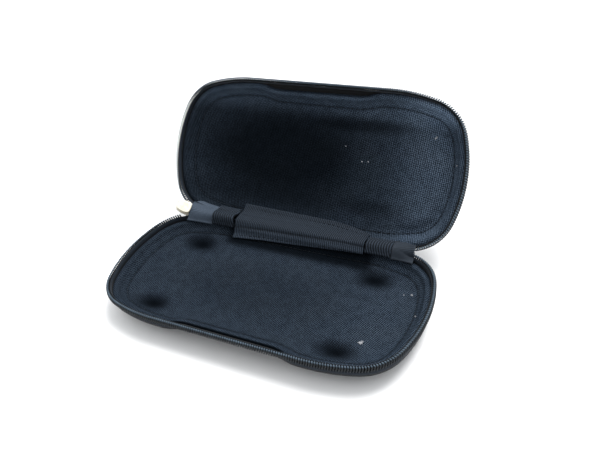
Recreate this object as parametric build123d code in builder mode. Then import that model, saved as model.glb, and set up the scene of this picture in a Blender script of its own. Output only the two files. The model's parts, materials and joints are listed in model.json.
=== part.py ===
from build123d import *
import os
from math import acos, asin, atan2, cos, hypot, pi, radians, sin, sqrt

# Clamshell headphone case: two moulded EVA trays joined by a cloth hinge and closed by a coil zipper.
# Frame: origin on the surface the case stands on, under the middle of the base tray.
# +X runs along the case, -Y is the front that opens, +Y is the hinge side, +Z is up.
# Each tray is drawn in its own frame, with Z = 0 at the tips of its zipper and the floor below.
# Millimetres. The lid stands open, lid_open degrees from shut.

# ---- driving dimensions ----
case_length = 180.0
case_width = 84.8
side_straight = 43.0       # half of the straight stretch of a long side
side_radius = 98.6
corner_radius = 24.6
end_radius = 72.8
tray_depth = 16.0          # zipper tips down to the flat of the tray, outside
foot_height = 1.0
lid_open = 128.7           # degrees from shut
hinge_inset = 2.2          # from the rear of the outline to the hinge axis
hinge_below_tips = 0.4

# ---- layers of one tray, measured inwards from the outside of the cover ----
cover_inset = 0.35         # outline to the outside of the cover
glue_gap = 0.05
cover_thickness = 0.6
tape_thickness = 0.55
foam_thickness = 3.0
lining_thickness = 0.5
tape_at = cover_thickness + glue_gap
foam_at = tape_at + tape_thickness + glue_gap
lining_at = foam_at + foam_thickness + glue_gap
cavity_at = lining_at + lining_thickness

# ---- tray section: a quarter ellipse from the shoulder down to the flat floor ----
shoulder_depth = 4.6       # zipper tips down to the top of the cover
wall_run = 22.0            # from the outside of the cover in to the edge of the flat
wall_drop = tray_depth - shoulder_depth
foam_top_depth = 5.2
hinge_shoulder_depth = 6.2

# ---- thumb recess in the middle of the front ----
recess_depth = 2.5
recess_radius = 27.0
recess_half_flat = 24.0

# ---- moulded feet ----
foot_half_length = 10.0
foot_half_width = 7.0
foot_x = 56.0
foot_y = 23.5
foot_rise = 2.2            # the foot runs this far up into the sloping wall

# ---- coil zipper, size 5 ----
coil_half_thickness = 1.0
coil_top_depth = 0.15
coil_height = 3.45
tape_top_depth = 1.2
tape_depth = 8.5
zip_start_x = -80.5        # where the teeth begin, beside the slider
zip_end_x = 71.0
spine_half_length = 68.5
seam_below_ribbon = 1.2    # rim stitching below the edge of the hinge ribbon

# ---- cloth over the hinge ----
ribbon_thickness = 0.8
ribbon_drop = 2.7          # how far it reaches down each tray wall
ribbon_x = (-40.0, 42.0)
ribbon_hem = 1.0           # ribbon past the end of its stitching
cloth_gap = 0.5            # cloth to lining
tail_thickness = 0.8
tail_rise = 0.8            # tails lie this much above the lips
left_tail_x = (-67.0, -55.7)
left_binding_x = (-55.5, -41.0)
right_binding_x = (43.0, 57.8)
right_tail_x = (58.0, 67.5)
binding_thickness = 1.6
spine_depth = 6.1
spine_thickness = 0.5
spine_fold_depth = 2.35
ribbon_ridge = -0.6        # middle of the cloth, from the hinge axis towards the inside
tail_ridge = 0.0

# ---- slider and pull ----
slider_x = -75.8
slider_inset = 3.9         # hinge axis to the middle of the coil at the slider
slider_length = 9.0
slider_width = 7.2
slider_plate = 1.2
slider_gap = 3.0           # between the plates, for coil and tape
slider_yaw = 30.0          # direction of the outline at the slider
plate_corner = 2.4
diamond_length = 2.6
diamond_width = 1.6
bonnet_width = 2.6
bonnet_length = 7.0
bonnet_height = 3.2
bonnet_wall = 0.7
bonnet_corner = 0.65
spring_thickness = 0.3
spring_width = 1.3
eye_radius = 1.1
eye_clearance = 0.3
pull_length = 13.0
pull_width = 4.6
pull_thickness = 1.2
pull_corner = 1.15
thread_radius = 0.3

half_length = case_length / 2
half_width = case_width / 2
tip_height = tray_depth + foot_height
hinge_y = half_width - hinge_inset
hinge_z = tip_height - hinge_below_tips


# ---- places ----
def turned(vector, angle):
    """Turn a vector about the X direction; opening the lid is a negative turn."""
    return vector.rotate(Axis.X, -angle)


def opened(point, angle):
    """Turn a point about the hinge axis by an opening angle."""
    pivot = Vector(0, hinge_y, hinge_z)
    return pivot + turned(point - pivot, angle)


base_plane = Plane(origin=(0, 0, tip_height), x_dir=(1, 0, 0), z_dir=(0, 0, 1))
lid_plane = Plane(
    origin=opened(Vector(0, 0, tip_height), lid_open),
    x_dir=(-1, 0, 0),
    z_dir=turned(Vector(0, 0, -1), lid_open),
)


# ---- outline of a tray ----
def corner_turns():
    """Turns of the side, corner and end arcs of one quarter, from the tangent circles."""
    side_x, side_y = side_straight, half_width - side_radius
    end_x = half_length - end_radius
    reach = hypot(side_x - end_x, side_y)
    to_side = side_radius - corner_radius
    to_end = end_radius - corner_radius
    along = (to_end ** 2 - to_side ** 2 + reach ** 2) / (2 * reach)
    across = sqrt(to_end ** 2 - along ** 2)
    unit_x, unit_y = (side_x - end_x) / reach, side_y / reach
    centre_x = end_x + along * unit_x - across * unit_y
    centre_y = along * unit_y + across * unit_x
    side_turn = atan2(centre_x - side_x, centre_y - side_y)
    end_turn = atan2(centre_y, centre_x - end_x)
    return side_turn, pi / 2 - side_turn - end_turn, end_turn


def outline_moves(recessed):
    """Runs (length, 0) and arcs (radius, turn) right round the tray, clockwise from the rear middle."""
    side_turn, corner_turn, end_turn = corner_turns()
    half_end = [(side_radius, side_turn), (corner_radius, corner_turn)]
    end = half_end + [(end_radius, 2 * end_turn)] + half_end[::-1]
    front = [(2 * side_straight, 0)]
    if recessed:
        turn = acos(1 - recess_depth / (2 * recess_radius))
        ramp = 2 * recess_radius * sin(turn)
        run = side_straight - recess_half_flat - ramp
        sink = [(recess_radius, turn), (recess_radius, -turn)]
        front = [(run, 0)] + sink + [(2 * recess_half_flat, 0)] + sink[::-1] + [(run, 0)]
    return [(side_straight, 0)] + end + front + end + [(side_straight, 0)]


def outline_wire(inset, recessed=False):
    """Closed outline drawn in by inset, as runs and tangent arcs."""
    x, y, heading = 0.0, half_width - inset, 0.0
    with BuildLine(Plane.XY) as drawn:
        for size, turn in outline_moves(recessed):
            start = (x, y)
            if turn == 0:
                x, y = x + size * cos(heading), y + size * sin(heading)
                Line(start, (x, y))
                continue
            radius = size - inset if turn > 0 else size + inset
            side = 1 if turn > 0 else -1
            centre_x = x + side * radius * sin(heading)
            centre_y = y - side * radius * cos(heading)
            points = []
            for part_turn in (turn / 2, turn):
                angle = heading - part_turn
                points.append(
                    (centre_x - side * radius * sin(angle), centre_y + side * radius * cos(angle))
                )
            ThreePointArc(start, points[0], points[1])
            x, y = points[1]
            heading -= turn
    return drawn.wire()


# ---- the section of a tray ----
def wall_point(layer, angle):
    """Inset from the outline and depth below the tips of a layer, at an angle down the wall."""
    inset = cover_inset + layer + (wall_run - layer) * (1 - cos(angle))
    depth = shoulder_depth + (wall_drop - layer) * sin(angle)
    return inset, depth


def wall_inset(layer, depth):
    """Inset from the outline of a layer at a depth below the tips."""
    return wall_point(layer, asin((depth - shoulder_depth) / (wall_drop - layer)))[0]


def tray_form(layer, on_feet=False):
    """Solid inside one layer of the tray, from the shoulder to the floor, with any feet pressed out."""
    edge_inset, floor_depth = wall_point(layer, pi / 2)
    section = Plane(origin=(0, half_width, 0), x_dir=(0, -1, 0), z_dir=(-1, 0, 0))
    with BuildPart() as form:
        with BuildSketch(section):
            with BuildLine():
                EllipticalCenterArc(
                    (edge_inset, -shoulder_depth),
                    wall_run - layer,
                    wall_drop - layer,
                    start_angle=180,
                    arc_size=90,
                )
                Polyline(
                    (edge_inset, -floor_depth),
                    (edge_inset, -shoulder_depth),
                    (cover_inset + layer, -shoulder_depth),
                )
            make_face()
        sweep(path=outline_wire(0, True))
        with BuildSketch(Plane.XY.offset(-floor_depth)):
            make_face(outline_wire(edge_inset, True).edges())
        extrude(amount=floor_depth - shoulder_depth)
    if not on_feet:
        return form.part
    with BuildPart() as foot:
        Sphere(1)
        scale(by=(foot_half_length - layer / 2, foot_half_width - layer / 2, foot_height))
        with BuildSketch(Plane.XY):
            Ellipse(foot_half_length - layer / 2, foot_half_width - layer / 2)
        extrude(amount=foot_rise)
    with BuildPart() as footed:
        add(form.part)
        with Locations((0, 0, -floor_depth)):
            with GridLocations(2 * foot_x, 2 * foot_y, 2, 2):
                add(foot.part)
    return footed.part


def band(outer, inner, top_depth, bottom_depth, outer_recess=False, inner_recess=False):
    """Upright ring between two insets and two depths."""
    with BuildPart() as ring:
        with BuildSketch(Plane.XY.offset(-bottom_depth)):
            make_face(outline_wire(outer, outer_recess).edges())
            make_face(outline_wire(inner, inner_recess).edges(), mode=Mode.SUBTRACT)
        extrude(amount=bottom_depth - top_depth)
    return ring.part


def slab(top_depth, bottom_depth):
    """Plate larger than the tray between two depths, used to cut pieces level."""
    with BuildPart() as plate:
        with BuildSketch(Plane.XY.offset(-bottom_depth)):
            Rectangle(case_length + wall_run, case_width + wall_run)
        extrude(amount=bottom_depth - top_depth)
    return plate.part


def rear_block(start_x, end_x, top_depth, bottom_depth):
    """Block over the hinge side between two X positions and two depths, used to cut pieces away."""
    with BuildPart() as block:
        with BuildSketch(Plane.XY.offset(-bottom_depth)):
            with Locations(((start_x + end_x) / 2, half_width)):
                Rectangle(end_x - start_x, half_width)
        extrude(amount=bottom_depth - top_depth)
    return block.part


# ---- pieces of a tray, in the tray's own frame ----
def cover(on_feet):
    """Outer cloth of a tray, cut back where the hinge fabric crosses."""
    with BuildPart() as cloth:
        add(tray_form(0, on_feet))
        add(tray_form(cover_thickness, on_feet), mode=Mode.SUBTRACT)
        add(
            rear_block(-spine_half_length, spine_half_length, 0, hinge_shoulder_depth),
            mode=Mode.SUBTRACT,
        )
    return cloth.part


def shell(on_feet):
    """Moulded foam of a tray."""
    with BuildPart() as foam:
        add(tray_form(foam_at, on_feet))
        add(tray_form(foam_at + foam_thickness, on_feet), mode=Mode.SUBTRACT)
        add(slab(0, foam_top_depth), mode=Mode.SUBTRACT)
    return foam.part


def lining(on_feet):
    """Inner cloth of a tray, turned out over the top of the foam."""
    with BuildPart() as cloth:
        add(tray_form(lining_at, on_feet))
        add(tray_form(cavity_at, on_feet), mode=Mode.SUBTRACT)
        add(
            band(
                cover_inset + foam_at,
                cover_inset + cavity_at,
                shoulder_depth,
                foam_top_depth - glue_gap,
                True,
                True,
            )
        )
    return cloth.part


with BuildPart() as rim_seam:
    seam_depth = shoulder_depth + ribbon_drop + seam_below_ribbon
    seam_inset = wall_inset(cavity_at, seam_depth + thread_radius) + glue_gap
    add(
        band(
            seam_inset,
            seam_inset + 2 * thread_radius,
            seam_depth - thread_radius,
            seam_depth + thread_radius,
            True,
            True,
        )
    )

with BuildPart() as whole_tape:
    tape_outer = cover_inset + tape_at
    tape_inner = tape_outer + tape_thickness
    add(tray_form(tape_at))
    add(tray_form(tape_at + tape_thickness), mode=Mode.SUBTRACT)
    add(slab(tape_depth, tray_depth + 2 * foot_height), mode=Mode.SUBTRACT)
    add(band(tape_outer, tape_inner, tape_top_depth, shoulder_depth))
    add(band(tape_outer, tape_inner, shoulder_depth - tape_thickness, shoulder_depth, False, True))
    add(rear_block(-spine_half_length, spine_half_length, 0, tape_depth + tape_thickness), mode=Mode.SUBTRACT)

whole_coil = band(
    -coil_half_thickness,
    coil_half_thickness - glue_gap,
    coil_top_depth,
    coil_top_depth + coil_height,
)


def zipper_half(whole, side):
    """Zipper piece with its top taken away between the two ends of the teeth."""
    ends = sorted((side * zip_start_x, side * zip_end_x))
    with BuildPart() as piece:
        add(whole)
        add(rear_block(ends[0], ends[1], 0, shoulder_depth), mode=Mode.SUBTRACT)
    return piece.part


def placed(piece, plane, label):
    """Tray piece moved from the tray's own frame to its place."""
    with BuildPart() as moved:
        with Locations(plane):
            add(piece)
    moved.part.label = label
    return moved.part


pieces = []
for prefix, plane, side, on_feet in (("base", base_plane, 1, True), ("lid", lid_plane, -1, False)):
    pieces.append(placed(cover(on_feet), plane, prefix + "_cover"))
    pieces.append(placed(shell(on_feet), plane, prefix + "_shell"))
    pieces.append(placed(lining(on_feet), plane, prefix + "_lining"))
    pieces.append(placed(rim_seam.part, plane, prefix + "_rim_seam"))
    pieces.append(placed(zipper_half(whole_tape.part, side), plane, prefix + "_zipper_tape"))
    pieces.append(placed(zipper_half(whole_coil, side), plane, prefix + "_zipper_coil"))


# ---- cloth over the hinge, drawn in the section across the case ----
def base_section_point(inset, depth):
    """Point (Y, Z) of the base tray's rear wall."""
    return half_width - inset, tip_height - depth


def lid_section_point(inset, depth):
    """Point (Y, Z) of the lid's rear wall, with the lid open."""
    point = opened(Vector(0, half_width - inset, tip_height + depth), lid_open)
    return point.Y, point.Z


def ridge_point(rise):
    """Point (Y, Z) between the two lips, rise above the hinge axis towards the inside."""
    inward = turned(Vector(0, -rise, 0), lid_open / 2)
    return hinge_y + inward.Y, hinge_z + inward.Z


def strip(points, thickness, start_x, end_x):
    """Strip of cloth of a given thickness along section points, from start_x to end_x."""
    with BuildPart() as cloth:
        with BuildSketch(Plane.YZ.offset(start_x)):
            with BuildLine() as route:
                Polyline(*points)
            trace(route.line, line_width=thickness)
        extrude(amount=end_x - start_x)
    return cloth.part


lip_inset = cover_inset + cavity_at + cloth_gap
wall_depth = shoulder_depth + ribbon_drop
wall_clear = wall_inset(cavity_at, wall_depth) + cloth_gap + ribbon_thickness / 2
lip_top = shoulder_depth - cloth_gap - ribbon_thickness / 2
ribbon_route = [
    base_section_point(wall_clear, wall_depth),
    base_section_point(lip_inset, lip_top),
    ridge_point(ribbon_ridge),
    lid_section_point(lip_inset, lip_top),
    lid_section_point(wall_clear, wall_depth),
]
tail_route = [
    base_section_point(lip_inset, shoulder_depth - tail_rise - binding_thickness / 2),
    ridge_point(tail_ridge),
    lid_section_point(lip_inset, shoulder_depth - tail_rise - binding_thickness / 2),
]
spine_inset = cover_inset + tape_at + spine_thickness / 2
spine_route = [
    base_section_point(spine_inset, spine_depth),
    base_section_point(spine_inset, spine_fold_depth),
    lid_section_point(spine_inset, spine_depth),
]
cloths = {
    "hinge_inner_ribbon": (ribbon_route, ribbon_thickness, ribbon_x),
    "hinge_outer_fabric": (spine_route, spine_thickness, (-spine_half_length, spine_half_length)),
    "left_tape_tail": (tail_route, tail_thickness, left_tail_x),
    "left_tail_binding": (tail_route, binding_thickness, left_binding_x),
    "right_tail_binding": (tail_route, binding_thickness, right_binding_x),
    "right_tape_tail": (tail_route, tail_thickness, right_tail_x),
}
for name, (route, thickness, ends) in cloths.items():
    cloth = strip(route, thickness, *ends)
    cloth.label = name
    pieces.append(cloth)


# ---- threads that hold the ribbon to each lining ----
def ribbon_thread(place, label):
    """Row of stitching along one long edge of the ribbon."""
    stitch_inset = wall_clear + ribbon_thickness / 2 + thread_radius + glue_gap
    middle = place(stitch_inset, wall_depth - 2 * thread_radius)
    with BuildPart() as thread:
        with BuildSketch(Plane.YZ.offset(ribbon_x[0] + ribbon_hem)):
            with Locations(middle):
                Circle(thread_radius)
        extrude(amount=ribbon_x[1] - ribbon_x[0] - 2 * ribbon_hem)
    thread.part.label = label
    return thread.part


pieces.append(ribbon_thread(base_section_point, "base_ribbon_thread"))
pieces.append(ribbon_thread(lid_section_point, "lid_ribbon_thread"))


# ---- slider: local X along the zipper, local Z outwards to the pull ----
yaw = radians(slider_yaw)
slider_plane = Plane(
    origin=opened(Vector(slider_x, hinge_y - slider_inset, hinge_z), lid_open / 2),
    x_dir=turned(Vector(cos(yaw), sin(yaw), 0), lid_open / 2),
    z_dir=turned(Vector(-sin(yaw), cos(yaw), 0), lid_open / 2),
)
gap_middle = -(coil_half_thickness + tape_thickness) / 2 + coil_half_thickness / 2
plate_low = gap_middle - slider_gap / 2 - slider_plate
plate_high = gap_middle + slider_gap / 2
bonnet_base = plate_high + slider_plate
eye_height = bonnet_base + eye_radius

with BuildPart() as slider_body:
    for low in (plate_low, plate_high):
        with BuildSketch(slider_plane.offset(low)):
            RectangleRounded(slider_length, slider_width, plate_corner)
        extrude(amount=slider_plate)
    with BuildSketch(slider_plane.offset(plate_low + slider_plate / 2)):
        with Locations((-slider_length / 2 + diamond_length, 0)):
            Ellipse(diamond_length / 2, diamond_width / 2)
    extrude(amount=slider_gap + slider_plate)
slider_body.part.label = "slider_body"
pieces.append(slider_body.part)

with BuildPart() as bonnet:
    with BuildSketch(slider_plane.offset(bonnet_base)):
        RectangleRounded(bonnet_length, bonnet_width, bonnet_corner)
    extrude(amount=bonnet_height)
    with BuildSketch(slider_plane.offset(bonnet_base)):
        Rectangle(bonnet_length - 2 * bonnet_wall, 2 * bonnet_width)
    extrude(amount=bonnet_height - bonnet_wall, mode=Mode.SUBTRACT)
bonnet.part.label = "slider_bonnet"
pieces.append(bonnet.part)

with BuildPart() as spring:
    with BuildSketch(slider_plane.offset(bonnet_base + bonnet_height - bonnet_wall - spring_thickness)):
        Rectangle(bonnet_length - 2 * bonnet_wall - 2 * glue_gap, spring_width)
    extrude(amount=spring_thickness - glue_gap)
spring.part.label = "slider_lock_spring"
pieces.append(spring.part)

# The pull hangs straight down from the slider while the lid is open.
swing_axis = Axis((0, 0, 0), slider_plane.y_dir)

with BuildPart() as pull:
    pivot_plane = Plane(
        origin=slider_plane.from_local_coords((0, 0, eye_height)),
        x_dir=slider_plane.y_dir,
        z_dir=slider_plane.x_dir.rotate(swing_axis, slider_yaw),
    )
    arm_start = bonnet_length / 2 + eye_radius + eye_clearance
    with BuildSketch(pivot_plane.offset(-pull_thickness / 2)):
        with Locations((0, pull_length / 2)):
            RectangleRounded(pull_width, pull_length + pull_thickness, pull_corner)
        with Locations((0, arm_start / 2)):
            Rectangle(bonnet_width + 2 * eye_clearance, arm_start - pull_thickness, mode=Mode.SUBTRACT)
    extrude(amount=pull_thickness)
pull.part.label = "pull_tab"
pieces.append(pull.part)

os.makedirs("parts", exist_ok=True)
for piece in pieces:
    export_step(piece, "parts/" + piece.label + ".step")
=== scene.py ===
import json
import math

import bmesh
import bpy
import numpy as np
from mathutils import Matrix, Vector


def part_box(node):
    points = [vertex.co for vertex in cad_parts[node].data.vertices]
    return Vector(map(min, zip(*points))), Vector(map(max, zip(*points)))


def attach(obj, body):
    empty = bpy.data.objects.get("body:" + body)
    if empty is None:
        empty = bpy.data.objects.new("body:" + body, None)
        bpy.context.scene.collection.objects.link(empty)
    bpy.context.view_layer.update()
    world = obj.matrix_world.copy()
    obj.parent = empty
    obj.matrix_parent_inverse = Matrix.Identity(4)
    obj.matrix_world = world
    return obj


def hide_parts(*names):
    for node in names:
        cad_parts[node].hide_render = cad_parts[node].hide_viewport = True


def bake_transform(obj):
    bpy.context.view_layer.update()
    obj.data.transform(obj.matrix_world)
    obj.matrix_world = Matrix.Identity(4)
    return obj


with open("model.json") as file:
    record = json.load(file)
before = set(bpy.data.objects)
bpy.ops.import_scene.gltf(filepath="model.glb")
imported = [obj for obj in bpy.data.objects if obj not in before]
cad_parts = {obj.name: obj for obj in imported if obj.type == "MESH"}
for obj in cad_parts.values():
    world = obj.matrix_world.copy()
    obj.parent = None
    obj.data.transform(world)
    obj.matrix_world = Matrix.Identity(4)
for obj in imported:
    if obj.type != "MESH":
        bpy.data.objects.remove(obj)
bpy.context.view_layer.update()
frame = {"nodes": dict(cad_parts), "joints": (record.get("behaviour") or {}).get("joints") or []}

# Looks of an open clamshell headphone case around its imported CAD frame.
# Shapes are worked out in millimetres and written to meshes in metres.
# A tray is drawn as (x, y, depth): the case shut, depth measured from the zipper tips to the floor.

rng = np.random.default_rng(7)
MM = 0.001
TAU = 2 * math.pi

# ---- frame read from the CAD ----
joints = {joint["name"]: joint for joint in frame["joints"]}
hinge = joints["lid_hinge"]
HINGE_Y, HINGE_Z = hinge["pos_m"][1] / MM, hinge["pos_m"][2] / MM
OPENING = -math.radians(hinge["range_deg"][0])
coil_low, coil_high = (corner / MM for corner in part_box("base_zipper_coil"))
COIL_HALF = 1.0    # half the width of the band of teeth
TIP_GAP = 0.15    # from the tips of the teeth to the plane where the two rows meet
HALF_LENGTH = coil_high.x - COIL_HALF
HALF_WIDTH = -coil_low.y - COIL_HALF
TIP_HEIGHT = coil_high.z + TIP_GAP
MIDDLE = HALF_LENGTH - HALF_WIDTH    # half the line that the floor's rows draw in to

# ---- outline: straight sides and tangent arcs ----
HALF_STRAIGHT = 43.0
SIDE_RADIUS, CORNER_RADIUS, END_RADIUS = 98.6, 24.6, 72.8
RECESS_DEPTH, RECESS_FLAT, RECESS_RADIUS = 2.5, 24.0, 27.0

# ---- section of a tray ----
SHOULDER = 4.6    # depth where the walls start
COVER_INSET = 0.35
WALL_RUN, WALL_DROP = 22.0, 11.4    # quarter ellipse from the shoulder to the floor
SPINE_TOP, SPINE_HALF = 6.2, 68.5    # where the cover is cut away for the hinge
LINING, UNDERSIDE = 4.8, 4.3    # faces of the lining, measured in from the cover
FOAM_FACE, FOAM_BACK = 4.05, 1.3
COVER = 0.6
SEAM_DEPTH = 8.5
FOOT = (56.0, 23.5, 10.0, 7.0)    # middle (x, y) and half sizes of the four feet


def quarter_arcs():
    """Radius and turn of the side, corner and end arcs of one quarter."""
    side_y = HALF_WIDTH - SIDE_RADIUS
    end_x = HALF_LENGTH - END_RADIUS
    reach = math.hypot(HALF_STRAIGHT - end_x, side_y)
    to_side, to_end = SIDE_RADIUS - CORNER_RADIUS, END_RADIUS - CORNER_RADIUS
    along = (to_end**2 - to_side**2 + reach**2) / (2 * reach)
    across = math.sqrt(to_end**2 - along**2)
    ux, uy = (HALF_STRAIGHT - end_x) / reach, side_y / reach
    cx, cy = end_x + along * ux - across * uy, along * uy + across * ux
    side = math.atan2(cx - HALF_STRAIGHT, cy - side_y)
    end = math.atan2(cy, cx - end_x)
    return [(SIDE_RADIUS, side), (CORNER_RADIUS, math.pi / 2 - side - end), (END_RADIUS, end)]


def outline_runs():
    """Start distance, start point, heading and radius of each run, clockwise from the rear middle."""
    side, corner, end = quarter_arcs()
    bend = [side, corner, (end[0], 2 * end[1]), corner, side]
    moves = [(0, HALF_STRAIGHT)] + bend + [(0, 2 * HALF_STRAIGHT)] + bend + [(0, HALF_STRAIGHT)]
    x, y, heading, start, runs = 0.0, HALF_WIDTH, 0.0, 0.0, []
    for radius, size in moves:
        runs.append((start, x, y, heading, radius))
        if radius:
            x += radius * (math.sin(heading) - math.sin(heading - size))
            y += radius * (math.cos(heading - size) - math.cos(heading))
            heading -= size
            start += radius * size
        else:
            x, y = x + size * math.cos(heading), y + size * math.sin(heading)
            start += size
    return np.array(runs), start


RUNS, PERIMETER = outline_runs()


def rim(distance):
    """Points of the outline and inward normals at distances along it from the rear middle."""
    s = np.asarray(distance, float) % PERIMETER
    k = np.searchsorted(RUNS[:, 0], s, side="right") - 1
    start, x0, y0, first, radius = RUNS[k].T
    gone = s - start
    bent = radius > 0
    heading = first - np.where(bent, gone / np.where(bent, radius, 1), 0)
    x = x0 + np.where(bent, radius * (np.sin(first) - np.sin(heading)), gone * np.cos(first))
    y = y0 + np.where(bent, radius * (np.cos(heading) - np.cos(first)), gone * np.sin(first))
    return np.stack([x, y], -1), np.stack([np.sin(heading), -np.cos(heading)], -1)


def recess(point):
    """How far the thumb recess draws the rim in at outline points."""
    x, y = np.abs(point[..., 0]), point[..., 1]
    turn = math.acos(1 - RECESS_DEPTH / (2 * RECESS_RADIUS))
    half_ramp = RECESS_RADIUS * math.sin(turn)
    t = np.clip(x - RECESS_FLAT, 0, 2 * half_ramp)
    drop = RECESS_RADIUS - np.sqrt(RECESS_RADIUS**2 - np.minimum(t, 2 * half_ramp - t) ** 2)
    return np.where(y < 0, np.where(t < half_ramp, RECESS_DEPTH - drop, drop), 0)


def rear_distance(x):
    """Distance along the outline, from the rear middle, of the rear point at a positive x."""
    s = np.linspace(0, PERIMETER / 4, 4000)
    return float(np.interp(x, rim(s)[0][:, 0], s))


# ---- places ----
def in_base(p):
    """Tray points (x, y, depth) as points of the base, in the row frame."""
    p = np.asarray(p, float)
    return np.stack([p[..., 0], p[..., 1], TIP_HEIGHT - p[..., 2]], -1)


def in_lid(p):
    """Tray points (x, y, depth) as points of the open lid, in the row frame."""
    p = np.asarray(p, float)
    y, z = p[..., 1] - HINGE_Y, TIP_HEIGHT + p[..., 2] - HINGE_Z
    c, s = math.cos(OPENING), math.sin(OPENING)
    return np.stack([p[..., 0], HINGE_Y + y * c + z * s, HINGE_Z - y * s + z * c], -1)


TRAYS = {"base": in_base, "lid": in_lid}


# ---- meshes ----
def lattice(rows, cols, wrap_cols=False, wrap_rows=False, first=0):
    """Faces of a grid of points numbered row by row."""
    index = np.arange(rows * cols).reshape(rows, cols) + first
    right = np.roll(index, -1, 1)
    faces = np.stack([index, right, np.roll(right, -1, 0), np.roll(index, -1, 0)], -1)
    faces = faces if wrap_rows else faces[:-1]
    faces = faces if wrap_cols else faces[:, :-1]
    return [tuple(f) for f in faces.reshape(-1, 4).tolist()]


def place_object(name, data):
    """Object in the scene that shows a mesh, light or camera."""
    made = bpy.data.objects.new(name, data)
    bpy.context.scene.collection.objects.link(made)
    return made


def mesh_object(name, points, faces, material, uv=None, tone=None, weld=0.0):
    """Object from millimetre points, with its weave map in millimetres and a tone for each point."""
    points = np.asarray(points, float).reshape(-1, 3)
    bm = bmesh.new()
    weave = bm.loops.layers.uv.new("weave")
    shade = bm.verts.layers.float.new("tone")
    verts = [bm.verts.new(p) for p in points * MM]
    for vert, value in zip(verts, np.ones(len(points)) if tone is None else np.ravel(tone)):
        vert[shade] = float(value)
    flat = points[:, :2] if uv is None else np.asarray(uv, float).reshape(-1, 2)
    for face in faces:
        if len(set(face)) < 3:
            continue
        made = bm.faces.new([verts[i] for i in face])
        made.smooth = True
        for loop, i in zip(made.loops, face):
            loop[weave].uv = flat[i]
    if weld:
        bmesh.ops.remove_doubles(bm, verts=bm.verts, dist=weld * MM)
        bmesh.ops.dissolve_degenerate(bm, edges=bm.edges, dist=weld * MM)
    bmesh.ops.recalc_face_normals(bm, faces=bm.faces)
    mesh = bpy.data.meshes.new(name)
    bm.to_mesh(mesh)
    bm.free()
    mesh.materials.append(material)
    return place_object(name, mesh)


def smoothstep(value, low, high):
    """0 below low, 1 above high and a smooth rise between."""
    t = np.clip((np.asarray(value, float) - low) / (high - low), 0, 1)
    return t * t * (3 - 2 * t)


def ripple(x, y, size):
    """Soft uneven swell of moulded cloth, about -1 to 1."""
    a = np.sin(x / size + 1.3 * np.sin(y / size * 0.7)) * np.cos(y / size * 1.1 + 0.4)
    b = np.sin(x / size * 1.9 + 2.1) * np.sin(y / size * 2.3 + 0.8 * np.cos(x / size))
    return 0.6 * a + 0.4 * b


def foot_press(x, y, foot=FOOT, scale=1.0):
    """Share of the full depth of the feet pressed into the floor at (x, y)."""
    middle_x, middle_y, half_x, half_y = foot
    away_x, away_y = (np.abs(x) - middle_x) / (half_x * scale), (np.abs(y) - middle_y) / (half_y * scale)
    return np.clip(1 - away_x**2 - away_y**2, 0, 1) ** 1.5


# ---- materials ----
def add_node(tree, kind, inputs=(), **props):
    """Node with its properties, whose inputs are values or another node's outputs."""
    made = tree.nodes.new(kind)
    for key, value in props.items():
        setattr(made, key, value)
    for key, value in dict(inputs).items():
        if isinstance(value, bpy.types.NodeSocket):
            tree.links.new(value, made.inputs[key])
        else:
            made.inputs[key].default_value = value
    return made


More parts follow.
